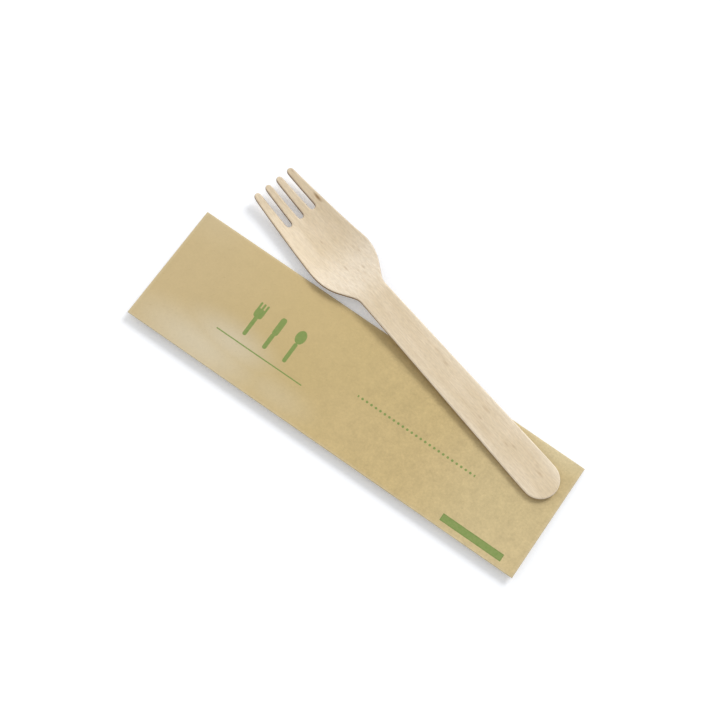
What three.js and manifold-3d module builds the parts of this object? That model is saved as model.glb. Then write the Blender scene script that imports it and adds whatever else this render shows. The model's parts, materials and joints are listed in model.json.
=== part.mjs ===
// Wooden cutlery pack: a flat kraft paper pouch with a pressed birch fork lying on it.
// Millimetres, +Z up. The origin is the middle of the pouch's back, on the table.
// +X runs along the pouch, and the fork's head hangs over its long edge on the +Y side.

import * as THREE from 'three';
import { mergeVertices } from 'three/addons/utils/BufferGeometryUtils.js';
import Module from 'manifold-3d';

const wasm = await Module();
wasm.setup();

// Pouch
const POUCH_LENGTH = 171.5;
const POUCH_WIDTH = 50.2;
const PAPER = 0.12;
const POUCH_EDGE = 0.5;
const FORK_SIDE_LIFT = 1;
const FREE_SIDE_LIFT = 2.9;
const POUCH_CROWN = 3.3;
const PUFF_ALONG_POWER = 4;
const PUFF_ACROSS_POWER = 0.75;
const FLAT_HALF_WIDTH = 7;
const FLAT_HALF_LENGTH = 58;
const SEAM_LAP = 10;
const FLAP_DEPTH = 12;
const FLAP_INSET = 0.8;
const HOLLOW_DEPTH = 0.45;
const HOLLOW_X = -50;
const HOLLOW_Y = -13;
const HOLLOW_REACH_X = 26;
const HOLLOW_REACH_Y = 9;

// Fork blank, seen from above
const FORK_LENGTH = 159;
const HANDLE_RADIUS = 7.7;
const NECK_HALF = 6.1;
const NECK_RADIUS = 6.5;
const FLARE_ANGLE = THREE.MathUtils.degToRad(31.5);
const HEAD_HALF = 13.05;
const HEAD_AT = 119;
const SHOULDER_RADIUS = 20;
const TIP_HALF = 9.5;
const SLOT_DEPTH = 18;
const SLOT_HALF_ROOT = 1.15;
const SLOT_HALF_MOUTH = 1.3;
const SLOT_PITCH_ROOT = 5.85;
const SLOT_PITCH_MOUTH = 5.35;
const TIP_RADIUS = 1.3;

// Fork relief, given by the press
const VENEER = 1.7;
const EDGE_ROUND = 0.5;
const DISH_DEPTH = 4.9;
const DISH_START = 98;
const DISH_FULL = 127;
const RIM_RISE = 2.3;
const RIM_START = 101;
const RIM_FULL = 121;
const RIM_FADE = 138;
const TIP_RISE = 3;
const TIP_RISE_START = 134;
const TIP_RISE_POWER = 1.5;
const TIP_RIM_SHARE = 0.25;

// How the fork lies
const HANDLE_END_X = 81.5;
const HANDLE_END_Y = 9.35;
const FORK_TURN = THREE.MathUtils.degToRad(165.73);
const SEAT_GAP = 0.3;
const TABLE_GAP = 0.1;

const { sin, cos, tan, sqrt, abs, max, min, PI } = Math;
const lerp = THREE.MathUtils.lerp;
const smooth = (from, to, x) => THREE.MathUtils.smoothstep(x, from, to);

// A plate from a plan of cells. The plan gives every vertex at a chosen inset from the outline, so the
// rounded rim is a few rings of the outline, each further in and nearer to the upper or lower face.
function closedPlate({ cells, plan, upper, lower, round, roundSteps }) {
  const positions = [];
  const index = [];
  const rimEdges = new Map();
  for (const cell of cells) {
    cell.forEach((a, i) => {
      const b = cell[(i + 1) % cell.length];
      if (!rimEdges.delete(`${b},${a}`)) rimEdges.set(`${a},${b}`, [a, b]);
    });
  }
  const addLayer = (inset, height) => {
    const start = positions.length / 3;
    for (const [x, y] of plan(inset)) positions.push(x, y, height(x, y));
    return start;
  };
  const layers = [];
  for (let step = 0; step <= roundSteps; step += 1) {
    const angle = (PI / 2) * (1 - step / roundSteps);
    const drop = round * (1 - sin(angle));
    layers.push(addLayer(round * (1 - cos(angle)), (x, y) => upper(x, y) - drop));
  }
  for (let step = roundSteps; step >= 0; step -= 1) {
    const angle = (PI / 2) * (1 - step / roundSteps);
    const lift = round * (1 - sin(angle));
    layers.push(addLayer(round * (1 - cos(angle)), (x, y) => lower(x, y) + lift));
  }
  const top = layers[0];
  const bottom = layers[layers.length - 1];
  for (const cell of cells) {
    for (let i = 2; i < cell.length; i += 1) {
      index.push(top + cell[0], top + cell[i - 1], top + cell[i]);
      index.push(bottom + cell[0], bottom + cell[i], bottom + cell[i - 1]);
    }
  }
  for (let level = 1; level < layers.length; level += 1) {
    const over = layers[level - 1];
    const under = layers[level];
    for (const [a, b] of rimEdges.values()) {
      index.push(over + a, under + a, under + b);
      index.push(over + a, under + b, over + b);
    }
  }
  const geometry = new THREE.BufferGeometry();
  geometry.setAttribute('position', new THREE.Float32BufferAttribute(positions, 3));
  geometry.setIndex(index);
  return mergeVertices(geometry, 1e-5);
}

// Solids to and from the boolean library
function toSolid(geometry) {
  const bare = geometry.clone();
  bare.deleteAttribute('normal');
  bare.deleteAttribute('uv');
  const merged = mergeVertices(bare, 1e-5);
  return new wasm.Manifold(new wasm.Mesh({
    numProp: 3,
    vertProperties: new Float32Array(merged.attributes.position.array),
    triVerts: new Uint32Array(merged.index.array),
  }));
}

function toGeometry(solid) {
  const mesh = solid.getMesh();
  const geometry = new THREE.BufferGeometry();
  geometry.setAttribute('position', new THREE.BufferAttribute(mesh.vertProperties, 3));
  geometry.setIndex(new THREE.BufferAttribute(mesh.triVerts, 1));
  return geometry;
}

// How far the folded edges stand off the table: the fork presses its own side down and the free side
// curls up.
const foldLift = (y) => lerp(FREE_SIDE_LIFT, FORK_SIDE_LIFT, 0.5 + y / POUCH_WIDTH);

// The pouch's front: thin at the folds, crowned in the middle, with one soft hollow left by handling.
function pouchFront(x, y) {
  const along = min(1, abs(x) / (POUCH_LENGTH / 2));
  const across = min(1, abs(y) / (POUCH_WIDTH / 2));
  const pillow = (1 - along ** PUFF_ALONG_POWER) * (1 - across ** 2) ** PUFF_ACROSS_POWER;
  const reach = ((x - HOLLOW_X) / HOLLOW_REACH_X) ** 2 + ((y - HOLLOW_Y) / HOLLOW_REACH_Y) ** 2;
  const edge = foldLift(y) + POUCH_EDGE;
  return edge + pillow * (POUCH_CROWN - edge - HOLLOW_DEPTH * Math.exp(-reach));
}

// The pouch's back: flat in the middle, where it lies on the table, and lifting softly to its folds.
function pouchBack(x, y) {
  const along = max(0, abs(x) - FLAT_HALF_LENGTH) / (POUCH_LENGTH / 2 - FLAT_HALF_LENGTH);
  const across = max(0, abs(y) - FLAT_HALF_WIDTH) / (POUCH_WIDTH / 2 - FLAT_HALF_WIDTH);
  return PAPER + (foldLift(y) - PAPER) * (1 - max(0, 1 - along ** 2) * max(0, 1 - across ** 2));
}

// A rectangle of cells in plan, closer together towards its edges.
function rectangle(middle, length, width, columns, rows) {
  const spread = (i, count) => sin((PI / 2) * ((2 * i) / count - 1));
  const cells = [];
  for (let i = 0; i < columns; i += 1) {
    for (let j = 0; j < rows; j += 1) {
      const a = i * (rows + 1) + j;
      const b = a + rows + 1;
      cells.push([a, b, b + 1, a + 1]);
    }
  }
  const plan = (inset) => {
    const points = [];
    for (let i = 0; i <= columns; i += 1) {
      for (let j = 0; j <= rows; j += 1) {
        const along = spread(i, columns) * (length / 2 - inset);
        const across = spread(j, rows) * (width / 2 - inset);
        points.push([middle + along, across]);
      }
    }
    return points;
  };
  return { cells, plan };
}

// The pouch: one sheet folded to a flat tube. Its back carries the lengthwise glued lap, one paper thick,
// and over the lap's ends two glued flaps, where the tube itself is turned over, two papers thick.
function pouchGeometry() {
  const body = closedPlate({
    ...rectangle(0, POUCH_LENGTH, POUCH_WIDTH, 36, 14),
    upper: pouchFront,
    lower: pouchBack,
    round: POUCH_EDGE / 2,
    roundSteps: 2,
  });
  const glued = (area, papers) => toSolid(closedPlate({
    ...area,
    upper: (x, y) => pouchBack(x, y) + PAPER,
    lower: (x, y) => pouchBack(x, y) - papers * PAPER,
    round: PAPER / 2,
    roundSteps: 1,
  }));
  const lapLength = POUCH_LENGTH - FLAP_DEPTH;
  const flapLength = FLAP_DEPTH - FLAP_INSET;
  const flapWidth = POUCH_WIDTH - 2 * FLAP_INSET;
  const flapMiddle = POUCH_LENGTH / 2 - FLAP_INSET - flapLength / 2;
  let solid = toSolid(body).add(glued(rectangle(0, lapLength, SEAM_LAP, 24, 1), 1));
  for (const side of [-1, 1]) {
    solid = solid.add(glued(rectangle(side * flapMiddle, flapLength, flapWidth, 4, 14), 2));
  }
  return toGeometry(solid);
}

// The fork's outline from the handle's end to the slot roots, as points with their outward normals.
// Straight stretches run tangent to the arcs of the neck and the shoulder.
const ROOT = FORK_LENGTH - SLOT_DEPTH + SLOT_HALF_ROOT;
const shoulderY = HEAD_HALF - SHOULDER_RADIUS;
const tipRun = FORK_LENGTH - HEAD_AT;
const tipFall = TIP_HALF - shoulderY;
const toTip = Math.hypot(tipRun, tipFall);
const TAPER_ANGLE = Math.atan2(tipRun, tipFall) - Math.acos(SHOULDER_RADIUS / toTip);

function outlineStations() {
  const stations = [];
  const add = (u, half, angle) => stations.push({ u, half, nu: -sin(angle), nv: cos(angle) });
  const END_STEPS = 6;
  for (let i = 0; i <= END_STEPS; i += 1) {
    const angle = (PI / 2) * (1 - i / END_STEPS);
    add(HANDLE_RADIUS * (1 - sin(angle)), HANDLE_RADIUS * cos(angle), angle);
  }
  const flareU = HEAD_AT - SHOULDER_RADIUS * sin(FLARE_ANGLE);
  const flareHalf = shoulderY + SHOULDER_RADIUS * cos(FLARE_ANGLE);
  const neckTop = NECK_HALF + NECK_RADIUS * (1 - cos(FLARE_ANGLE));
  const neckU = flareU - (flareHalf - neckTop) / tan(FLARE_ANGLE) - NECK_RADIUS * sin(FLARE_ANGLE);
  const HANDLE_STEPS = 6;
  for (let i = 1; i < HANDLE_STEPS; i += 1) {
    const t = i / HANDLE_STEPS;
    add(lerp(HANDLE_RADIUS, neckU, t), lerp(HANDLE_RADIUS, NECK_HALF, t), 0);
  }
  const NECK_STEPS = 4;
  for (let i = 0; i <= NECK_STEPS; i += 1) {
    const angle = (FLARE_ANGLE * i) / NECK_STEPS;
    add(neckU + NECK_RADIUS * sin(angle), NECK_HALF + NECK_RADIUS * (1 - cos(angle)), angle);
  }
  add((neckU + NECK_RADIUS * sin(FLARE_ANGLE) + flareU) / 2, (neckTop + flareHalf) / 2, FLARE_ANGLE);
  const SHOULDER_STEPS = 7;
  for (let i = 0; i <= SHOULDER_STEPS; i += 1) {
    const angle = lerp(FLARE_ANGLE, -TAPER_ANGLE, i / SHOULDER_STEPS);
    add(HEAD_AT - SHOULDER_RADIUS * sin(angle), shoulderY + SHOULDER_RADIUS * cos(angle), angle);
  }
  return stations;
}

// The long edges of the four tines at a distance u from the handle's end, from one side to the other.
function tineEdges(u, inset) {
  const t = (u - ROOT) / (FORK_LENGTH - ROOT);
  const pitch = lerp(SLOT_PITCH_ROOT, SLOT_PITCH_MOUTH, t);
  const slotHalf = lerp(SLOT_HALF_ROOT, SLOT_HALF_MOUTH, t) + inset;
  const half = TIP_HALF + (FORK_LENGTH - u) * tan(TAPER_ANGLE) - inset / cos(TAPER_ANGLE);
  const edges = [-half];
  for (const slot of [-1, 0, 1]) edges.push(slot * pitch - slotHalf, slot * pitch + slotHalf);
  edges.push(half);
  return edges;
}

// How a tine ends: flat across its middle, with rounded corners.
function tipLine(tineHalf, across, inset) {
  const radius = TIP_RADIUS - inset;
  const past = max(0, abs(across) * tineHalf - (tineHalf - radius));
  return FORK_LENGTH - inset - radius + sqrt(max(0, radius * radius - past * past));
}

// The pressed shape of the upper face over the handle's plane: the bowl drops and the tips come up again,
// while the rim of the bowl stands over its middle.
function pressed(u, v) {
  const drop = DISH_DEPTH * smooth(DISH_START, DISH_FULL, u);
  const sweep = max(0, (u - TIP_RISE_START) / (FORK_LENGTH - TIP_RISE_START));
  const rise = TIP_RISE * sweep ** TIP_RISE_POWER;
  const fade = lerp(1, TIP_RIM_SHARE, smooth(RIM_FADE, FORK_LENGTH, u));
  const rim = RIM_RISE * smooth(RIM_START, RIM_FULL, u) * fade * (v / HEAD_HALF) ** 2;
  return rise - drop + rim;
}

const TINES = 4;
const TINE_COLUMNS = [-1, -0.8, -0.42, 0, 0.42, 0.8, 1];
const SLOT_STEPS = 6;
const BOWL_ROWS = 5;
const TINE_ROWS = 6;
const stations = outlineStations();

// Every vertex of the blank at an inset from its outline: handle and bowl row by row, then the tines.
function forkPlan(inset) {
  const points = [];
  const rootEdges = tineEdges(ROOT, inset);
  const rootRow = [];
  for (let tine = 0; tine < TINES; tine += 1) {
    const [left, right] = rootEdges.slice(2 * tine);
    for (const across of TINE_COLUMNS) rootRow.push([ROOT, lerp(left, right, (1 + across) / 2)]);
    if (tine === TINES - 1) break;
    const slotLeft = right;
    const slotRight = rootEdges[2 * tine + 2];
    const radius = (slotRight - slotLeft) / 2;
    for (let i = 1; i < SLOT_STEPS; i += 1) {
      const angle = PI * (i / SLOT_STEPS - 0.5);
      rootRow.push([ROOT - radius * cos(angle), (slotLeft + slotRight) / 2 + radius * sin(angle)]);
    }
  }
  const rootHalf = rootEdges[rootEdges.length - 1];
  const shares = rootRow.map(([, v]) => v / rootHalf);
  for (const { u, half, nu, nv } of stations) {
    for (const share of shares) points.push([u - inset * nu, share * (half - inset * nv)]);
  }
  const lastRow = points.slice(-shares.length);
  for (let row = 1; row <= BOWL_ROWS; row += 1) {
    const t = row / BOWL_ROWS;
    rootRow.forEach(([u, v], i) => points.push([lerp(lastRow[i][0], u, t), lerp(lastRow[i][1], v, t)]));
  }
  for (let tine = 0; tine < TINES; tine += 1) {
    const [tipLeft, tipRight] = tineEdges(FORK_LENGTH, inset).slice(2 * tine);
    for (let row = 1; row <= TINE_ROWS; row += 1) {
      for (const across of TINE_COLUMNS) {
        const u = lerp(ROOT, tipLine((tipRight - tipLeft) / 2, across, inset), row / TINE_ROWS);
        const [left, right] = tineEdges(u, inset).slice(2 * tine);
        points.push([u, lerp(left, right, (1 + across) / 2)]);
      }
    }
  }
  return points;
}

function forkCells() {
  const across = TINES * TINE_COLUMNS.length + (TINES - 1) * (SLOT_STEPS - 1);
  const bodyRows = stations.length + BOWL_ROWS;
  const cells = [];
  for (let column = across; column < 2 * across - 1; column += 1) cells.push([0, column, column + 1]);
  for (let row = 1; row < bodyRows - 1; row += 1) {
    for (let column = 0; column < across - 1; column += 1) {
      const a = row * across + column;
      cells.push([a, a + across, a + across + 1, a + 1]);
    }
  }
  const wide = TINE_COLUMNS.length;
  for (let tine = 0; tine < TINES; tine += 1) {
    let below = (bodyRows - 1) * across + tine * (wide + SLOT_STEPS - 1);
    let above = bodyRows * across + tine * TINE_ROWS * wide;
    for (let row = 0; row < TINE_ROWS; row += 1) {
      for (let i = 0; i < wide - 1; i += 1) cells.push([below + i, above + i, above + i + 1, below + i + 1]);
      below = above;
      above += wide;
    }
  }
  return cells;
}

function forkGeometry() {
  return closedPlate({
    cells: forkCells(),
    plan: forkPlan,
    upper: pressed,
    lower: (u, v) => pressed(u, v) - VENEER,
    round: EDGE_ROUND,
    roundSteps: 2,
  });
}

// Where the fork comes to rest: its handle on the pouch and its belly just clear of the table. Tilting it
// head up lifts the belly faster than the handle, so the tilt that serves both is found by halving.
function forkPlace(pitch, height) {
  const tilt = new THREE.Matrix4().makeRotationY(-pitch);
  const turn = new THREE.Matrix4().makeRotationZ(FORK_TURN);
  return turn.multiply(tilt).setPosition(HANDLE_END_X, HANDLE_END_Y, height);
}

function restingPlace() {
  const underside = forkPlan(0).map(([u, v]) => new THREE.Vector3(u, v, pressed(u, v) - VENEER));
  const heights = (pitch) => {
    const place = forkPlace(pitch, 0);
    let overTable = -Infinity;
    let overPouch = -Infinity;
    for (const point of underside) {
      const { x, y, z } = point.clone().applyMatrix4(place);
      overTable = max(overTable, TABLE_GAP - z);
      const onPouch = abs(x) < POUCH_LENGTH / 2 && abs(y) < POUCH_WIDTH / 2;
      if (onPouch) overPouch = max(overPouch, pouchFront(x, y) + SEAT_GAP - z);
    }
    return [overTable, overPouch];
  };
  let low = -0.2;
  let high = 0.2;
  for (let i = 0; i < 40; i += 1) {
    const pitch = (low + high) / 2;
    const [overTable, overPouch] = heights(pitch);
    if (overTable > overPouch) low = pitch;
    else high = pitch;
  }
  return forkPlace(high, max(...heights(high)));
}

// Finishes
const kraftPaper = new THREE.MeshStandardMaterial({ color: 0xc9b384, roughness: 0.85, metalness: 0 });
const birch = new THREE.MeshStandardMaterial({ color: 0xe3cfae, roughness: 0.62, metalness: 0 });

const pouch = new THREE.Mesh(pouchGeometry(), kraftPaper);
pouch.name = 'kraft_pouch';

const fork = new THREE.Mesh(forkGeometry(), birch);
fork.name = 'fork';
fork.applyMatrix4(restingPlace());

const group = new THREE.Group();
group.add(pouch, fork);

export default group;
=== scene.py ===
# %% [markdown]
# # Wooden cutlery pack
# A flat pouch of brown kraft paper lies on a pale table, and a birch fork lies on it with its head past the
# pouch's long edge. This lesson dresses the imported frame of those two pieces: the camera and the light come
# first, then the paper, then the wood. Everything is in metres, in the frame that the model was packed in.

# %% Load the frame
import json
import math

import bmesh
import bpy
from mathutils import Matrix, Vector

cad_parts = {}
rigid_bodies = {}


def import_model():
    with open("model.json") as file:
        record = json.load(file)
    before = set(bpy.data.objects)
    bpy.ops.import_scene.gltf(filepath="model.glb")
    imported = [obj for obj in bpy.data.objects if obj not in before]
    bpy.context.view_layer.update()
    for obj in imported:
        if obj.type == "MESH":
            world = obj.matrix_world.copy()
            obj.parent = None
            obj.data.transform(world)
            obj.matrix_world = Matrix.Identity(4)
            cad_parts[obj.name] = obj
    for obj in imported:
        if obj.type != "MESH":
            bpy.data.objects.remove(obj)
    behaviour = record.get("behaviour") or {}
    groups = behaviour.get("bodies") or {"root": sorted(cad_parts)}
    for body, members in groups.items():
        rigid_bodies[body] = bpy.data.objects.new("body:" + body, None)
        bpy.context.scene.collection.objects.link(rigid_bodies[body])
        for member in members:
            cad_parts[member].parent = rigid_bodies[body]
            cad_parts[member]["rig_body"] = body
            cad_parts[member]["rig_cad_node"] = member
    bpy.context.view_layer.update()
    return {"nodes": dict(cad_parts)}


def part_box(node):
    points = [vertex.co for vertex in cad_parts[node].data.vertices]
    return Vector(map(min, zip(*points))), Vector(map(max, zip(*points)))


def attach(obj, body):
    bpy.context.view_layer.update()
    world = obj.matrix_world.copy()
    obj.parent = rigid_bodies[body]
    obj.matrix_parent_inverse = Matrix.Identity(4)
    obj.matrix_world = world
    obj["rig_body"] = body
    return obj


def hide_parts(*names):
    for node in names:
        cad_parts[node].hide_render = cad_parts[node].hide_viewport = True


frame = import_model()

MM = 0.001
nodes = frame["nodes"]
print("CAD nodes:", ", ".join(sorted(nodes)))

# %% [markdown]
# ## Camera
# The photograph looks down steeply, and the long lens keeps the pouch's opposite edges nearly parallel. The
# pouch's four corners gave the place, the aim and the roll. Turning a camera by three angles is hard to read,
# so its matrix is built from the point that it looks at and the way on the table that is up in the picture.

# %% Set up the camera
CAMERA_PLACE = Vector((64.1, -177.5, 639.2)) * MM
CAMERA_AIM = Vector((-5.66, 11.24, 0)) * MM
PICTURE_UP = Vector((-0.568, 0.823, 0))
LENS = 89.89
SENSOR = 36
NEAREST_SEEN = 0.01

camera_data = bpy.data.cameras.new("photo_camera")
camera_data.lens = LENS
camera_data.sensor_width = SENSOR
camera_data.clip_start = NEAREST_SEEN
camera = bpy.data.objects.new("photo_camera", camera_data)
bpy.context.scene.collection.objects.link(camera)
bpy.context.scene.camera = camera

forward = (CAMERA_AIM - CAMERA_PLACE).normalized()
up = (PICTURE_UP - PICTURE_UP.dot(forward) * forward).normalized()
right = forward.cross(up)
turn = Matrix((right, up, -forward)).transposed().to_4x4()
camera.matrix_world = Matrix.Translation(CAMERA_PLACE) @ turn
print("Camera to aim in mm:", round((CAMERA_AIM - CAMERA_PLACE).length / MM))

# %% [markdown]
# ## Helpers for the materials
# Colours are picked as sRGB hex values, as in any paint program, and a shader wants them linear, so one
# function turns them. Another adds a node, sets it and links it in one go, which keeps each material short.
# The last ones put together a few nodes that are needed more than once.

# %% Colour and node helpers
def linear(hex_code):
    """An sRGB hex colour as the linear red, green, blue and alpha that a shader takes."""
    channels = [int(hex_code[i:i + 2], 16) / 255 for i in (1, 3, 5)]
    bent = [c / 12.92 if c <= 0.04045 else ((c + 0.055) / 1.055) ** 2.4 for c in channels]
    return (*bent, 1.0)


def add(tree, kind, sockets=None, **settings):
    """Add a node with its settings. A socket is given by its name or number, and takes a value, another
    socket or a node, whose first output in use is then linked."""
    made = tree.nodes.new(kind)
    for name, value in settings.items():
        setattr(made, name, value)
    for name, value in (sockets or {}).items():
        if isinstance(name, str):
            socket = next(s for s in made.inputs if s.enabled and s.name == name)
        else:
            socket = made.inputs[name]
        if isinstance(value, bpy.types.Node):
            value = next(s for s in value.outputs if s.enabled)
        if isinstance(value, bpy.types.NodeSocket):
            tree.links.new(value, socket)
        else:
            socket.default_value = value
    return made


def start_material(name):
    """An empty node material, with its tree."""
    material = bpy.data.materials.new(name)
    material.use_nodes = True
    material.node_tree.nodes.clear()
    return material, material.node_tree


def seen_by_camera(tree):
    """1 where the camera looks, straight or by way of gloss or glass, and 0 where light is only passed on."""
    rays = add(tree, "ShaderNodeLightPath").outputs
    seen = rays["Is Camera Ray"]
    for kind in ("Is Glossy Ray", "Is Transmission Ray"):
        seen = add(tree, "ShaderNodeMath", {0: seen, 1: rays[kind]}, operation="MAXIMUM")
    return seen


def spot(tree, place, shape):
    """1 in the middle of a soft oval spot and 0 at its rim. Its place and reach are in millimetres."""
    (x, y), (reach_x, reach_y) = shape
    centred = add(tree, "ShaderNodeMapping", {
        "Vector": place, "Location": (x * MM, y * MM, 0), "Scale": (reach_x * MM, reach_y * MM, 1),
    }, vector_type="TEXTURE")
    return add(tree, "ShaderNodeTexGradient", {"Vector": centred}, gradient_type="SPHERICAL").outputs["Fac"]


print("Middle grey #808080 is", round(linear("#808080")[0], 3), "in linear light")

# %% [markdown]
# ## Table and light
# The object stands on plain white, with one soft light from the upper right of the picture and a softer light
# from all round, brighter on the left as from a large window. Area lamps would fade across the table, so a
# sun lamp gives the shadow its direction, and the world fills it and models the fork's bowl. Together they
# light a level surface at strength 1, so a colour renders about as it is written. The table is a cool white
# paint, because wood and paper throw warm light on what lies under them, and the real shadows look neutral.
# Seen straight by the camera it glows a little, which lifts it to pure white while it still takes the shadow.
# The Standard view shows these values unchanged.

# %% Make the table
TABLE_SIZE = 6.0
TABLE_DROP = 0.02 * MM
TABLE_GLOW = 0.2

bpy.context.scene.view_settings.view_transform = "Standard"
bpy.ops.object.select_all(action="DESELECT")
bpy.ops.mesh.primitive_plane_add(size=TABLE_SIZE, location=(0, 0, -TABLE_DROP))
table = bpy.context.object
table.name = "table"

table_paint, tree = start_material("white_table_paint")
glow = add(tree, "ShaderNodeMath", {0: seen_by_camera(tree), 1: TABLE_GLOW}, operation="MULTIPLY")
paint = add(tree, "ShaderNodeBsdfDiffuse", {"Color": linear("#EFF1F5")})
light = add(tree, "ShaderNodeEmission", {"Color": linear("#FFFFFF"), "Strength": glow})
both = add(tree, "ShaderNodeAddShader", {0: paint, 1: light})
add(tree, "ShaderNodeOutputMaterial", {"Surface": both})
table.data.materials.append(table_paint)
print("Table", TABLE_SIZE, "m wide, lying", TABLE_DROP / MM, "mm under the pouch")

# %% Set up the light
KEY_BEARING = math.radians(80)
KEY_HEIGHT = math.radians(43)
KEY_SOFTNESS = math.radians(25)
KEY_SHARE = 0.34
FILL_SHARE = 1 - KEY_SHARE
WINDOW_BEARING = math.radians(160)
WINDOW_SHARE = 0.45

toward_key = Vector((
    math.cos(KEY_HEIGHT) * math.cos(KEY_BEARING),
    math.cos(KEY_HEIGHT) * math.sin(KEY_BEARING),
    math.sin(KEY_HEIGHT),
))
sun_data = bpy.data.lights.new("key_light", "SUN")
sun_data.energy = KEY_SHARE * math.pi / math.sin(KEY_HEIGHT)
sun_data.angle = KEY_SOFTNESS
sun = bpy.data.objects.new("key_light", sun_data)
bpy.context.scene.collection.objects.link(sun)
sun.rotation_euler = toward_key.to_track_quat("Z", "Y").to_euler()

world = bpy.data.worlds.new("soft_room_light")
bpy.context.scene.world = world
world.use_nodes = True
tree = world.node_tree
tree.nodes.clear()
ray = add(tree, "ShaderNodeTexCoord").outputs["Generated"]
toward_window = (math.cos(WINDOW_BEARING), math.sin(WINDOW_BEARING), 0)
facing = add(tree, "ShaderNodeVectorMath", {0: ray, 1: toward_window}, operation="DOT_PRODUCT")
fill = add(tree, "ShaderNodeMath", {0: facing, 1: FILL_SHARE * WINDOW_SHARE, 2: FILL_SHARE},
           operation="MULTIPLY_ADD")
strength = add(tree, "ShaderNodeMapRange", {"Value": seen_by_camera(tree), "To Min": fill, "To Max": 1.0})
room = add(tree, "ShaderNodeBackground", {"Color": linear("#FFFFFF"), "Strength": strength})
add(tree, "ShaderNodeOutputWorld", {"Surface": room})
print("Light from", round(math.degrees(KEY_HEIGHT)), "degrees up, strength", round(sun_data.energy, 2))

# %% [markdown]
# ## The paper pouch
# The real pouch is one kraft sheet rolled to a flat tube and glued along its back, with both ends turned over
# and glued down. It is a soft thing: thin and crisp at its folds and slightly puffed between them. A block
# would look like card, so the pouch starts as a fine flat grid, pulled down by the thickness of its folded
# edge. The folds are then rounded, the glued laps are drawn out of the back, and the puff comes last.

# %% Pull a grid to a flat slab
pouch_low, pouch_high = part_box("kraft_pouch")
LENGTH = pouch_high.x - pouch_low.x
WIDTH = pouch_high.y - pouch_low.y
EDGE = 0.5 * MM
CELL = 1.3 * MM

bpy.ops.object.select_all(action="DESELECT")
bpy.ops.mesh.primitive_grid_add(
    x_subdivisions=round(LENGTH / CELL),
    y_subdivisions=round(WIDTH / CELL),
    size=1,
    location=(0, 0, EDGE),
)
pouch = bpy.context.object
pouch.name = "kraft_paper_pouch"
bpy.ops.transform.resize(value=(LENGTH, WIDTH, 1))
bpy.ops.object.transform_apply(location=True, rotation=True, scale=True)
print("Grid in mm:", [round(side / MM, 2) for side in pouch.dimensions])

bpy.ops.object.mode_set(mode="EDIT")
bpy.ops.mesh.select_all(action="SELECT")
bpy.ops.mesh.extrude_region_move(TRANSFORM_OT_translate={"value": (0, 0, -EDGE)})
bpy.ops.mesh.select_all(action="SELECT")
bpy.ops.mesh.normals_make_consistent(inside=False)

# %% Round the folds
FOLD_ROUND = 0.2 * MM
TOUCHING = 0.05 * MM


def keep_selected(kind, test):
    """In edit mode, select only the faces or edges that pass a test of their middle and themselves."""
    mesh = bmesh.from_edit_mesh(bpy.context.edit_object.data)
    bpy.ops.mesh.select_all(action="DESELECT")
    chosen = 0
    for item in getattr(mesh, kind):
        middle = sum((corner.co for corner in item.verts), Vector()) / len(item.verts)
        if test(middle, item):
            item.select_set(True)
            chosen += 1
    mesh.select_flush_mode()
    bmesh.update_edit_mesh(bpy.context.edit_object.data)
    return chosen


def on_rim(middle, edge):
    """True on the long straight edges of the slab, upper and lower."""
    at_end = abs(abs(middle.x) - LENGTH / 2) < TOUCHING
    at_side = abs(abs(middle.y) - WIDTH / 2) < TOUCHING
    level = abs(edge.verts[0].co.z - edge.verts[1].co.z) < TOUCHING
    return level and (at_end or at_side)


bpy.ops.mesh.select_mode(type="EDGE")
count = keep_selected("edges", on_rim)
bpy.ops.mesh.bevel(offset=FOLD_ROUND, segments=3, affect="EDGES")
print("Fold edges rounded:", count)

# %% Draw the glued laps out of the back
PAPER = 0.12 * MM
LAP = 10 * MM
FLAP = 12 * MM
FLAP_INSET = 0.8 * MM
FACING_DOWN = -0.9


def cut(point, normal):
    """Cut the whole mesh along a plane and keep both halves."""
    bpy.ops.mesh.select_all(action="SELECT")
    bpy.ops.mesh.bisect(plane_co=point, plane_no=normal)


for sign in (-1, 1):
    cut((0, sign * LAP / 2, 0), (0, 1, 0))
    cut((0, sign * (WIDTH / 2 - FLAP_INSET), 0), (0, 1, 0))
    cut((sign * (LENGTH / 2 - FLAP), 0, 0), (1, 0, 0))
    cut((sign * (LENGTH / 2 - FLAP_INSET), 0, 0), (1, 0, 0))


def in_flap(middle):
    """True where an end of the tube is turned over and glued down."""
    inner = LENGTH / 2 - FLAP
    outer = LENGTH / 2 - FLAP_INSET
    return inner < abs(middle.x) < outer and abs(middle.y) < WIDTH / 2 - FLAP_INSET


def in_lap(middle):
    """True on the lengthwise glued seam, between the two end flaps."""
    return abs(middle.y) < LAP / 2 and abs(middle.x) < LENGTH / 2 - FLAP


def on_layer(middle, face):
    """True on the back wherever a second layer of paper is glued on."""
    return face.normal.z < FACING_DOWN and (in_flap(middle) or in_lap(middle))


def on_turned_end(middle, face):
    """True on the lower face of that layer, where the end is turned over once more."""
    return face.normal.z < FACING_DOWN and middle.z < -PAPER / 2 and in_flap(middle)


bpy.ops.mesh.select_mode(type="FACE")
first = keep_selected("faces", on_layer)
bpy.ops.mesh.extrude_region_move(TRANSFORM_OT_translate={"value": (0, 0, -PAPER)})
second = keep_selected("faces", on_turned_end)
bpy.ops.mesh.extrude_region_move(TRANSFORM_OT_translate={"value": (0, 0, -PAPER)})
bpy.ops.object.mode_set(mode="OBJECT")
print("Faces drawn out once and twice:", first, second)

# %% [markdown]
# The puff is a smooth rule, so code moves the vertices instead of a brush: every point keeps its share of the
# way from back to front, and the glued laps keep their thickness below the back. The middle of the back lies
# flat. The fork presses its own side of the pouch down, the free fold curls up off the table, and one soft
# hollow shows where fingers pressed the front. Long low waves on the front keep it from looking machined.
# More fullness keeps the pouch thick nearer to its ends.

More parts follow.
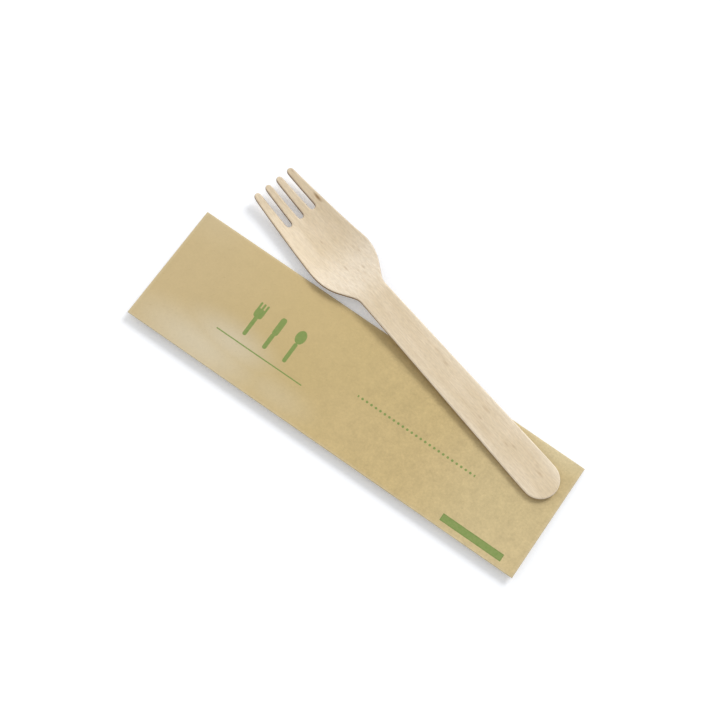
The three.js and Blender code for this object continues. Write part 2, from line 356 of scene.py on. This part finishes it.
# %% Puff the pouch
CROWN = 3.3 * MM
FORK_SIDE_LIFT = 1.0 * MM
FREE_SIDE_LIFT = 2.9 * MM
FLAT_HALF_WIDTH = 7 * MM
FLAT_HALF_LENGTH = 58 * MM
END_FULLNESS = 4
SIDE_SHARPNESS = 0.75
HOLLOW_DEPTH = 0.45 * MM
HOLLOW_PLACE = Vector((-50, -13)) * MM
HOLLOW_REACH = Vector((26, 9)) * MM
WAVE_HEIGHT = 0.05 * MM
WAVE_LENGTHS = ((41 * MM, 67 * MM), (23 * MM, 37 * MM))


def fold_lift(y):
    """How far the folded edges stand off the table."""
    return FREE_SIDE_LIFT + (FORK_SIDE_LIFT - FREE_SIDE_LIFT) * (0.5 + y / WIDTH)


def pillow(x, y):
    """How far the front is puffed there, from 0 at the folds to 1 in the middle."""
    along = min(1.0, abs(x) / (LENGTH / 2))
    across = min(1.0, abs(y) / (WIDTH / 2))
    return (1 - along ** END_FULLNESS) * (1 - across ** 2) ** SIDE_SHARPNESS


def front(x, y):
    """Height of the pouch's front."""
    reach = ((x - HOLLOW_PLACE.x) / HOLLOW_REACH.x) ** 2 + ((y - HOLLOW_PLACE.y) / HOLLOW_REACH.y) ** 2
    waves = 0
    for number, (first_length, second_length) in enumerate(WAVE_LENGTHS):
        waves += math.sin(math.tau * (x / first_length + y / second_length) + number)
    fold = fold_lift(y) + EDGE
    rise = CROWN - fold - HOLLOW_DEPTH * math.exp(-reach)
    return fold + pillow(x, y) * (rise - WAVE_HEIGHT * (1 + waves / len(WAVE_LENGTHS)))


def back(x, y):
    """Height of the pouch's back."""
    along = max(0.0, abs(x) - FLAT_HALF_LENGTH) / (LENGTH / 2 - FLAT_HALF_LENGTH)
    across = max(0.0, abs(y) - FLAT_HALF_WIDTH) / (WIDTH / 2 - FLAT_HALF_WIDTH)
    flat = max(0.0, 1 - along ** 2) * max(0.0, 1 - across ** 2)
    return PAPER + (fold_lift(y) - PAPER) * (1 - flat)


for vertex in pouch.data.vertices:
    x, y, z = vertex.co
    share = min(1.0, max(0.0, z / EDGE))
    low = back(x, y)
    vertex.co.z = low + share * (front(x, y) - low) + min(z, 0.0)

heights = [v.co.z / MM for v in pouch.data.vertices]
print("Pouch from", round(min(heights), 2), "to", round(max(heights), 2), "mm")

# %% Smooth the pouch's faces
SHARPEST_BEND = math.radians(35)

bpy.ops.object.select_all(action="DESELECT")
pouch.select_set(True)
bpy.context.view_layer.objects.active = pouch
bpy.ops.object.shade_smooth_by_angle(angle=SHARPEST_BEND)
print("Pouch faces:", len(pouch.data.polygons))

# %% [markdown]
# ## The print
# The front is printed in one green. An image would blur close by, so the print is drawn from rounded boxes,
# one rule for each, because a bar, a dot, a handle and a spoon's bowl are all a box with rounded corners. It
# stays sharp however close one looks. Each shape is its middle, half its size without the rounding, and the
# rounding, in millimetres on the pouch.

# %% List the printed shapes
BAR_MIDDLE = (65.6, -21.1)
BAR_HALF = (13.15, 1.4)
BAR_RIM = 0.35
BAR_ROUND = (0.1, 0.1)
BAR = (BAR_MIDDLE, BAR_HALF, BAR_ROUND)
BAR_INSIDE = (BAR_MIDDLE, (BAR_HALF[0] - BAR_RIM, BAR_HALF[1] - BAR_RIM), BAR_ROUND)
RULE = ((-36.5, -10.5), (19, 0.05), (0.2, 0.2))

PICTURES_Y = 0.5
FORK_X, KNIFE_X, SPOON_X = -46, -37, -28
TINE_PITCH = 1.45
fork_neck = ((FORK_X, PICTURES_Y + 2.6), (0.9, 0.4), (1.0, 1.6))
knife_handle = ((KNIFE_X, PICTURES_Y - 4.2), (0, 2.6), (0.85, 0.85))
knife_blade = ((KNIFE_X + 0.2, PICTURES_Y + 2.7), (0.2, 2.6), (1.0, 1.4))
spoon_bowl = ((SPOON_X, PICTURES_Y + 4.0), (0, 0), (2.05, 2.9))
ink_shapes = [BAR, RULE, fork_neck, knife_handle, knife_blade, spoon_bowl]
for x in (FORK_X, SPOON_X):
    ink_shapes.append(((x, PICTURES_Y - 3.2), (0, 3.6), (0.8, 0.8)))
for side in (-1, 0, 1):
    ink_shapes.append(((FORK_X + side * TINE_PITCH, PICTURES_Y + 5.0), (0, 1.6), (0.42, 0.42)))

DOT_PITCH = 2.0
DOT_ROW = ((28, -1.5), (26, 1), (0.1, 0.1))
DOT = ((0, -1.5), (0, 0), (0.5, 0.5))
FAR = 100
print("Printed shapes:", len(ink_shapes), "and a row of dots")


# %% Draw the shapes with nodes
def ink_shape(tree, place, shape):
    """1 inside a box with rounded corners and 0 outside, at any height. Its sizes are in millimetres."""
    (x, y), (half_x, half_y), (round_x, round_y) = shape
    offset = add(tree, "ShaderNodeVectorMath", {0: place, 1: (x, y, 0)}, operation="SUBTRACT")
    size = add(tree, "ShaderNodeVectorMath", {0: offset}, operation="ABSOLUTE")
    over = add(tree, "ShaderNodeVectorMath", {0: size, 1: (half_x, half_y, FAR)}, operation="SUBTRACT")
    past = add(tree, "ShaderNodeVectorMath", {0: over, 1: (0, 0, 0)}, operation="MAXIMUM")
    share = add(tree, "ShaderNodeVectorMath", {0: past, 1: (round_x, round_y, 1)}, operation="DIVIDE")
    reach = add(tree, "ShaderNodeVectorMath", {0: share}, operation="LENGTH")
    return add(tree, "ShaderNodeMath", {0: reach, 1: 1.0}, operation="LESS_THAN")


def draw_print(tree, in_mm):
    """1 where the plates leave ink: the shapes one by one, and the row of dots as one repeated dot."""
    half = DOT_PITCH / 2
    wrapped = add(tree, "ShaderNodeVectorMath", {0: in_mm, 1: (half, FAR, FAR), 2: (-half, -FAR, -FAR)},
                  operation="WRAP")
    row = ink_shape(tree, in_mm, DOT_ROW)
    inked = add(tree, "ShaderNodeMath", {0: row, 1: ink_shape(tree, wrapped, DOT)}, operation="MULTIPLY")
    for shape in ink_shapes:
        inked = add(tree, "ShaderNodeMath", {0: inked, 1: ink_shape(tree, in_mm, shape)}, operation="MAXIMUM")
    return inked


# %% [markdown]
# ## Kraft paper
# Unbleached kraft is strong brown paper of long pine fibres. It is matt and uneven close by: the fibres clump
# to a fine mottle and leave a few darker hairs. From further off the sheet is paler towards both ends, most
# of all in the corner past the fork's handle. Its front carries a painted sheen on its left half, most of all
# round the hollow. Its folds are worn pale. Noise makes the clouds, the mottle and the hairs, each with cells
# of the real size, and soft bands and ovals make what is paler and the painted sheen.

# %% Lay the paper's patterns
MOTTLE = 0.9 * MM
PATCH = 4 * MM
CLOUD = 28 * MM
HAIR_LENGTH = 2.6 * MM
HAIR_WIDTH = 0.28 * MM
HAIR_TURN = 0.5

kraft, tree = start_material("kraft_paper")
place = add(tree, "ShaderNodeTexCoord").outputs["Object"]
along = add(tree, "ShaderNodeSeparateXYZ", {0: place}).outputs["X"]
from_middle = add(tree, "ShaderNodeVectorMath", {0: place}, operation="ABSOLUTE")
from_middle = add(tree, "ShaderNodeSeparateXYZ", {0: from_middle}).outputs
facing = add(tree, "ShaderNodeNewGeometry").outputs["Normal"]
upward = add(tree, "ShaderNodeSeparateXYZ", {0: facing}).outputs["Z"]
on_front = add(tree, "ShaderNodeMath", {0: upward, 1: 0.0}, operation="GREATER_THAN")
cloud = add(tree, "ShaderNodeTexNoise", {"Vector": place, "Scale": 1 / CLOUD, "Detail": 2.0})
patch = add(tree, "ShaderNodeTexNoise", {"Vector": place, "Scale": 1 / PATCH, "Detail": 1.0})
mottle = add(tree, "ShaderNodeTexNoise", {
    "Vector": place, "Scale": 1 / MOTTLE, "Detail": 4.0, "Roughness": 0.65})
hair_place = add(tree, "ShaderNodeMapping", {
    "Vector": place, "Rotation": (0, 0, HAIR_TURN), "Scale": (HAIR_LENGTH, HAIR_WIDTH, 1),
}, vector_type="TEXTURE")
hairs = add(tree, "ShaderNodeTexNoise", {"Vector": hair_place, "Scale": 1.0, "Detail": 2.0})
print("Paper patterns from", MOTTLE / MM, "to", CLOUD / MM, "mm")

# %% Tone the sheet, pale its ends and paint a sheen on it
FAR_END_FROM, FAR_END_TO = -20 * MM, -80 * MM
NEAR_END_FROM, NEAR_END_TO = 28 * MM, 66 * MM
PALER_CORNER = ((74, 25), (30, 14))
PAINTED_SHEEN_ZONES = [
    (((-58, -20), (40, 14)), 0.85),
    (((-49, -12), (27, 12)), 0.85),
    (((-24, -19), (24, 10)), 0.35),
    (((-84, 24), (24, 14)), 0.18),
]
FOLD_WEAR = 1.2 * MM

tone = add(tree, "ShaderNodeMix", {"Factor": cloud, "A": linear("#C4AE7A"), "B": linear("#C9B281")},
           data_type="RGBA")
far_end = add(tree, "ShaderNodeMapRange", {
    "Value": along, "From Min": FAR_END_FROM, "From Max": FAR_END_TO, "To Max": 0.8,
}, interpolation_type="SMOOTHSTEP")
tone = add(tree, "ShaderNodeMix", {"Factor": far_end, "A": tone, "B": linear("#C7B287")}, data_type="RGBA")
near_end = add(tree, "ShaderNodeMapRange", {
    "Value": along, "From Min": NEAR_END_FROM, "From Max": NEAR_END_TO, "To Max": 0.3,
}, interpolation_type="SMOOTHSTEP")
# The front is paler towards the corner past the fork's handle.
corner = add(tree, "ShaderNodeMapRange", {"Value": spot(tree, place, PALER_CORNER), "To Max": 0.7},
             interpolation_type="SMOOTHSTEP")
near_end = add(tree, "ShaderNodeMath", {0: near_end, 1: corner}, operation="MAXIMUM")
tone = add(tree, "ShaderNodeMix", {"Factor": near_end, "A": tone, "B": linear("#D6C8A2")}, data_type="RGBA")
# Painted sheen: the front is mixed paler and greyer on its left half, most of all round the hollow.
painted_sheen = 0.0
for shape, share in PAINTED_SHEEN_ZONES:
    sheen_zone = add(tree, "ShaderNodeMapRange", {"Value": spot(tree, place, shape), "To Max": share},
               interpolation_type="SMOOTHSTEP")
    painted_sheen = add(tree, "ShaderNodeMath", {0: sheen_zone, 1: painted_sheen}, operation="MAXIMUM")
painted_sheen = add(tree, "ShaderNodeMath", {0: painted_sheen, 1: on_front}, operation="MULTIPLY")
tone = add(tree, "ShaderNodeMix", {"Factor": painted_sheen, "A": tone, "B": linear("#D2C5A9")}, data_type="RGBA")
for axis, half in (("X", LENGTH / 2), ("Y", WIDTH / 2)):
    wear_and_highlight = add(tree, "ShaderNodeMapRange", {
        "Value": from_middle[axis], "From Min": half - FOLD_WEAR, "From Max": half, "To Max": 0.4})
    tone = add(tree, "ShaderNodeMix", {"Factor": wear_and_highlight, "A": tone, "B": linear("#DACBAA")}, data_type="RGBA")
print("Pale zones on the front:", len(PAINTED_SHEEN_ZONES))

# %% Add the mottle and the hairs
SMOOTH_BEFORE, COARSE_AFTER = -30 * MM, 20 * MM
PATCH_STRENGTH = 0.045
MOTTLE_STRENGTH = 0.085

coarse = add(tree, "ShaderNodeMapRange", {
    "Value": along, "From Min": SMOOTH_BEFORE, "From Max": COARSE_AFTER, "To Min": 0.3, "To Max": 1.0})
for noise, strength in ((patch, PATCH_STRENGTH), (mottle, MOTTLE_STRENGTH)):
    shade = add(tree, "ShaderNodeMapRange", {
        "Value": noise, "From Min": 0.3, "From Max": 0.7, "To Min": 1 - strength, "To Max": 1 + strength})
    tone = add(tree, "ShaderNodeMix", {"Factor": coarse, "A": tone, "B": shade},
               data_type="RGBA", blend_type="MULTIPLY")
hair = add(tree, "ShaderNodeMapRange", {
    "Value": hairs, "From Min": 0.64, "From Max": 0.74, "To Min": 0.0, "To Max": 0.3})
tone = add(tree, "ShaderNodeMix", {"Factor": hair, "A": tone, "B": linear("#A88F60")}, data_type="RGBA")
print("Mottle of", MOTTLE / MM, "mm, hairs of", HAIR_LENGTH / MM, "by", HAIR_WIDTH / MM, "mm")

# %% [markdown]
# Paper is printed with soft plates, which leave the ink a little thin where the fibres lie low and squeeze it
# out to the rim of a solid bar. So the mottle thins the ink, and the bar's rim is a darker green.

# %% Print and finish the paper
RIM_SHARE = 0.4
FIBRE_HEIGHT = 0.03 * MM

in_mm = add(tree, "ShaderNodeVectorMath", {0: place, "Scale": 1 / MM}, operation="SCALE")
inked = draw_print(tree, in_mm)
inked = add(tree, "ShaderNodeMath", {0: inked, 1: on_front}, operation="MULTIPLY")
rim = add(tree, "ShaderNodeMath", {0: ink_shape(tree, in_mm, BAR), 1: ink_shape(tree, in_mm, BAR_INSIDE)},
          operation="SUBTRACT")
rim = add(tree, "ShaderNodeMath", {0: rim, 1: RIM_SHARE}, operation="MULTIPLY")
ink = add(tree, "ShaderNodeMix", {"Factor": rim, "A": linear("#7A934E"), "B": linear("#5B7632")},
          data_type="RGBA")
cover = add(tree, "ShaderNodeMapRange", {
    "Value": mottle, "From Min": 0.25, "From Max": 0.6, "To Min": 1.0, "To Max": 0.88})
inked = add(tree, "ShaderNodeMath", {0: inked, 1: cover}, operation="MULTIPLY")
tone = add(tree, "ShaderNodeMix", {"Factor": inked, "A": tone, "B": ink}, data_type="RGBA")

bump = add(tree, "ShaderNodeBump", {"Height": mottle, "Distance": FIBRE_HEIGHT})
paper = add(tree, "ShaderNodeBsdfPrincipled", {
    "Base Color": tone, "Roughness": 0.8, "IOR": 1.5, "Specular IOR Level": 0.3, "Normal": bump})
add(tree, "ShaderNodeOutputMaterial", {"Surface": paper})

pouch.data.materials.clear()
pouch.data.materials.append(kraft)
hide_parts("kraft_pouch")
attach(pouch, "root")
print("Kraft paper:", len(tree.nodes), "nodes")

# %% [markdown]
# ## The birch fork
# The real fork is stamped from one sheet of rotary-cut birch veneer and pressed while damp, which dishes its
# head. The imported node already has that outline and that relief, but in flat facets. A copy of it keeps every
# size, so its loose triangles are merged and paired back to squares, and two rounds of subdivision smooth
# them. Modelling it again from a primitive would only risk a different fork. The copy is a piece of its own,
# so the marks of a CAD node come off it.

# %% Copy the fork and merge its triangles
MERGE = 0.002 * MM
PAIR_ANGLE = math.radians(60)

bpy.ops.object.select_all(action="DESELECT")
fork = nodes["fork"].copy()
fork.data = nodes["fork"].data.copy()
fork.name = "birch_fork"
fork.parent = None
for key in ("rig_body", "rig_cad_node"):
    del fork[key]
bpy.context.scene.collection.objects.link(fork)
fork.select_set(True)
bpy.context.view_layer.objects.active = fork
bpy.ops.object.mode_set(mode="EDIT")
bpy.ops.mesh.select_all(action="SELECT")
bpy.ops.mesh.remove_doubles(threshold=MERGE)
bpy.ops.mesh.tris_convert_to_quads(face_threshold=PAIR_ANGLE, shape_threshold=PAIR_ANGLE)
bpy.ops.object.mode_set(mode="OBJECT")
print("Fork cage:", len(fork.data.vertices), "points,", len(fork.data.polygons), "faces")

# %% Smooth the fork
ROUNDS = 2

smooth = fork.modifiers.new("smooth", "SUBSURF")
smooth.levels = ROUNDS
smooth.render_levels = ROUNDS
bpy.ops.object.modifier_apply(modifier=smooth.name)
bpy.ops.object.shade_smooth()
triangles = sum(len(face.vertices) - 2 for face in fork.data.polygons)
print("Fork:", triangles, "triangles")

# %% [markdown]
# ## Birch
# Birch is a pale, even wood with a fine straight grain and short brown pith flecks that follow it. It is left
# bare and only tumbled smooth, so it has a low, broad sheen. Its rims and the handle's sides carry a painted
# highlight. The stamped edges show cut fibres and look browner, most of all on the head, which was pressed
# hot, and this brown is also painted shade on the edges that face away from the light. The foot of the bowl
# carries a painted highlight where its slope faces the light. Noise drawn out along the fork makes the grain,
# the pores and the faintest flecks. The flecks that catch the eye, and one dark mark, are soft ovals set where
# the real fork has them. All patterns run along the fork, so the coordinates are first turned to it: X from
# the handle's end to the tips and Y across.

# %% Lay the wood's patterns along the fork
HANDLE_END = (81.5 * MM, 9.35 * MM, 0)
FORK_TURN = math.radians(165.73)
GRAIN = (20 * MM, 0.6 * MM, 0.6 * MM)
BROAD = (16 * MM, 3.2 * MM, 3.2 * MM)
PORES = (1.8 * MM, 0.5 * MM, 0.5 * MM)
FLECK = (5.5 * MM, 1.1 * MM, 1.1 * MM)

birch, tree = start_material("birch_veneer")
place = add(tree, "ShaderNodeTexCoord").outputs["Object"]
on_fork = add(tree, "ShaderNodeMapping", {
    "Vector": place, "Location": HANDLE_END, "Rotation": (0, 0, FORK_TURN)}, vector_type="TEXTURE")
from_end = add(tree, "ShaderNodeVectorMath", {0: on_fork}, operation="ABSOLUTE")
from_end = add(tree, "ShaderNodeSeparateXYZ", {0: from_end}).outputs


def streaks(tree, place, size, **sockets):
    """Noise drawn out along the fork, with one cell of the given size."""
    drawn_out = add(tree, "ShaderNodeMapping", {"Vector": place, "Scale": size}, vector_type="TEXTURE")
    return add(tree, "ShaderNodeTexNoise", {"Vector": drawn_out, "Scale": 1.0, **sockets})


grain = streaks(tree, on_fork, GRAIN, Detail=4.0, Roughness=0.7, Distortion=0.4)
broad = streaks(tree, on_fork, BROAD, Detail=3.0)
pores = streaks(tree, on_fork, PORES, Detail=2.0)
flecks = streaks(tree, on_fork, FLECK, Detail=1.0)
print("Grain lines", GRAIN[0] / MM, "mm long and", GRAIN[1] / MM, "mm wide")

# %% Tone the wood from handle to bowl
SIDE_HIGHLIGHT_FROM, SIDE_HIGHLIGHT_TO = 3.5 * MM, 6.5 * MM
NECK_FROM, NECK_TO = 90 * MM, 105 * MM
FOOT_FROM, FOOT_TO = 97 * MM, 107 * MM
BOWL_FROM, BOWL_TO = 115 * MM, 126 * MM

tone = add(tree, "ShaderNodeMix", {"Factor": broad, "A": linear("#D0BC98"), "B": linear("#EAD9BF")},
           data_type="RGBA")
# Painted highlight: a paler strip along both sides of the handle, fading out towards the neck.
wear_and_highlight = add(tree, "ShaderNodeMapRange", {"Value": from_end["Y"], "From Min": SIDE_HIGHLIGHT_FROM, "From Max": SIDE_HIGHLIGHT_TO})
on_handle = add(tree, "ShaderNodeMapRange", {
    "Value": from_end["X"], "From Min": NECK_FROM, "From Max": NECK_TO, "To Min": 0.45, "To Max": 0.0})
wear_and_highlight = add(tree, "ShaderNodeMath", {0: wear_and_highlight, 1: on_handle}, operation="MULTIPLY")
tone = add(tree, "ShaderNodeMix", {"Factor": wear_and_highlight, "A": tone, "B": linear("#EFE2CC")}, data_type="RGBA")
# Painted highlight on the foot of the bowl, where its slope faces the light.
painted_foot_highlight = add(tree, "ShaderNodeMapRange", {
    "Value": from_end["X"], "From Min": FOOT_FROM, "From Max": FOOT_TO, "To Max": 0.5})
short_of_bowl = add(tree, "ShaderNodeMapRange", {
    "Value": from_end["X"], "From Min": BOWL_FROM, "From Max": BOWL_TO, "To Min": 1.0, "To Max": 0.0})
painted_foot_highlight = add(tree, "ShaderNodeMath", {0: painted_foot_highlight, 1: short_of_bowl}, operation="MULTIPLY")
tone = add(tree, "ShaderNodeMix", {"Factor": painted_foot_highlight, "A": tone, "B": linear("#F6EBDA")}, data_type="RGBA")
print("Foot of the bowl from", FOOT_FROM / MM, "to", BOWL_TO / MM, "mm up the fork")

# %% Draw the grain and the pores
line = add(tree, "ShaderNodeMapRange", {
    "Value": grain, "From Min": 0.4, "From Max": 0.7, "To Min": 0.0, "To Max": 0.42})
tone = add(tree, "ShaderNodeMix", {"Factor": line, "A": tone, "B": linear("#C9B08C")}, data_type="RGBA")
shade = add(tree, "ShaderNodeMapRange", {
    "Value": pores, "From Min": 0.3, "From Max": 0.7, "To Min": 0.93, "To Max": 1.07})
tone = add(tree, "ShaderNodeMix", {"Factor": 1.0, "A": tone, "B": shade},
           data_type="RGBA", blend_type="MULTIPLY")
print("Pores", PORES[0] / MM, "mm long and", PORES[1] / MM, "mm wide")

# %% Set the flecks and the dark mark
PITH_FLECKS = [
    ((9, -1.2), (2.4, 0.7)),
    ((22.8, -0.7), (2.2, 0.6)),
    ((25.5, 0.8), (2.0, 0.5)),
    ((38.9, 1.5), (1.8, 0.5)),
    ((39.8, -2.3), (2.6, 0.75)),
    ((62.8, -2.6), (1.9, 0.6)),
    ((111.1, -4.3), (1.7, 0.6)),
    ((115, 0.9), (2.0, 0.6)),
    ((117.2, -7.6), (1.4, 0.5)),
    ((128.9, 0.7), (1.4, 0.5)),
    ((157.3, -8.8), (1.2, 0.7)),
]
DARK_MARK = ((143.4, -9.5), (3.0, 0.7))

fleck = add(tree, "ShaderNodeMapRange", {
    "Value": flecks, "From Min": 0.66, "From Max": 0.8, "To Min": 0.0, "To Max": 0.5})
for shape in PITH_FLECKS:
    fleck = add(tree, "ShaderNodeMath", {0: fleck, 1: spot(tree, on_fork, shape)}, operation="MAXIMUM")
fleck = add(tree, "ShaderNodeMapRange", {"Value": fleck, "From Max": 0.8, "To Max": 0.36})
tone = add(tree, "ShaderNodeMix", {"Factor": fleck, "A": tone, "B": linear("#A98B64")}, data_type="RGBA")
mark = add(tree, "ShaderNodeMapRange", {"Value": spot(tree, on_fork, DARK_MARK), "From Max": 0.8})
tone = add(tree, "ShaderNodeMix", {"Factor": mark, "A": tone, "B": linear("#98764A")}, data_type="RGBA")
print("Flecks set by hand:", len(PITH_FLECKS))

# %% [markdown]
# The rims and edges need no extra faces or maps. How level the surface lies tells them apart: 1 on the two
# broad faces, 0 on the stamped edge, and all that lies between on the rounded rim.

# %% Paint highlights on the rims, and brown and shade the edges
facing = add(tree, "ShaderNodeSeparateXYZ", {0: add(tree, "ShaderNodeNewGeometry").outputs["Normal"]})
level = add(tree, "ShaderNodeMath", {0: facing.outputs["Z"]}, operation="ABSOLUTE")
# Painted highlight: the rounded rims are mixed towards a pale cream.
rim = add(tree, "ShaderNodeMapRange", {
    "Value": level, "From Min": 0.75, "From Max": 0.9, "To Min": 0.7, "To Max": 0.0})
tone = add(tree, "ShaderNodeMix", {"Factor": rim, "A": tone, "B": linear("#F4E9D8")}, data_type="RGBA")
# The stamped edges turn brown: partly their cut fibres, partly painted shade on the side away from the light.
edge = add(tree, "ShaderNodeMapRange", {
    "Value": level, "From Min": 0.1, "From Max": 0.5, "To Min": 0.9, "To Max": 0.0})
tone = add(tree, "ShaderNodeMix", {"Factor": edge, "A": tone, "B": linear("#97754C")}, data_type="RGBA")
# On the head the edges are browner still: partly the hot press, partly painted shade.
head_edge_and_shade = add(tree, "ShaderNodeMapRange", {
    "Value": level, "From Min": 0.45, "From Max": 0.92, "To Min": 0.85, "To Max": 0.0})
on_head = add(tree, "ShaderNodeMapRange", {
    "Value": from_end["X"], "From Min": NECK_FROM, "From Max": NECK_TO})
head_edge_and_shade = add(tree, "ShaderNodeMath", {0: head_edge_and_shade, 1: on_head}, operation="MULTIPLY")
tone = add(tree, "ShaderNodeMix", {"Factor": head_edge_and_shade, "A": tone, "B": linear("#8C6B45")}, data_type="RGBA")
print("Edges pressed hot from", NECK_FROM / MM, "mm up the fork")

# %% Finish the wood
GRAIN_HEIGHT = 0.02 * MM

bump = add(tree, "ShaderNodeBump", {"Height": grain, "Distance": GRAIN_HEIGHT})
wood = add(tree, "ShaderNodeBsdfPrincipled", {
    "Base Color": tone, "Roughness": 0.42, "IOR": 1.5, "Normal": bump})
add(tree, "ShaderNodeOutputMaterial", {"Surface": wood})

fork.data.materials.clear()
fork.data.materials.append(birch)
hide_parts("fork")
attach(fork, "root")
print("Birch:", len(tree.nodes), "nodes")
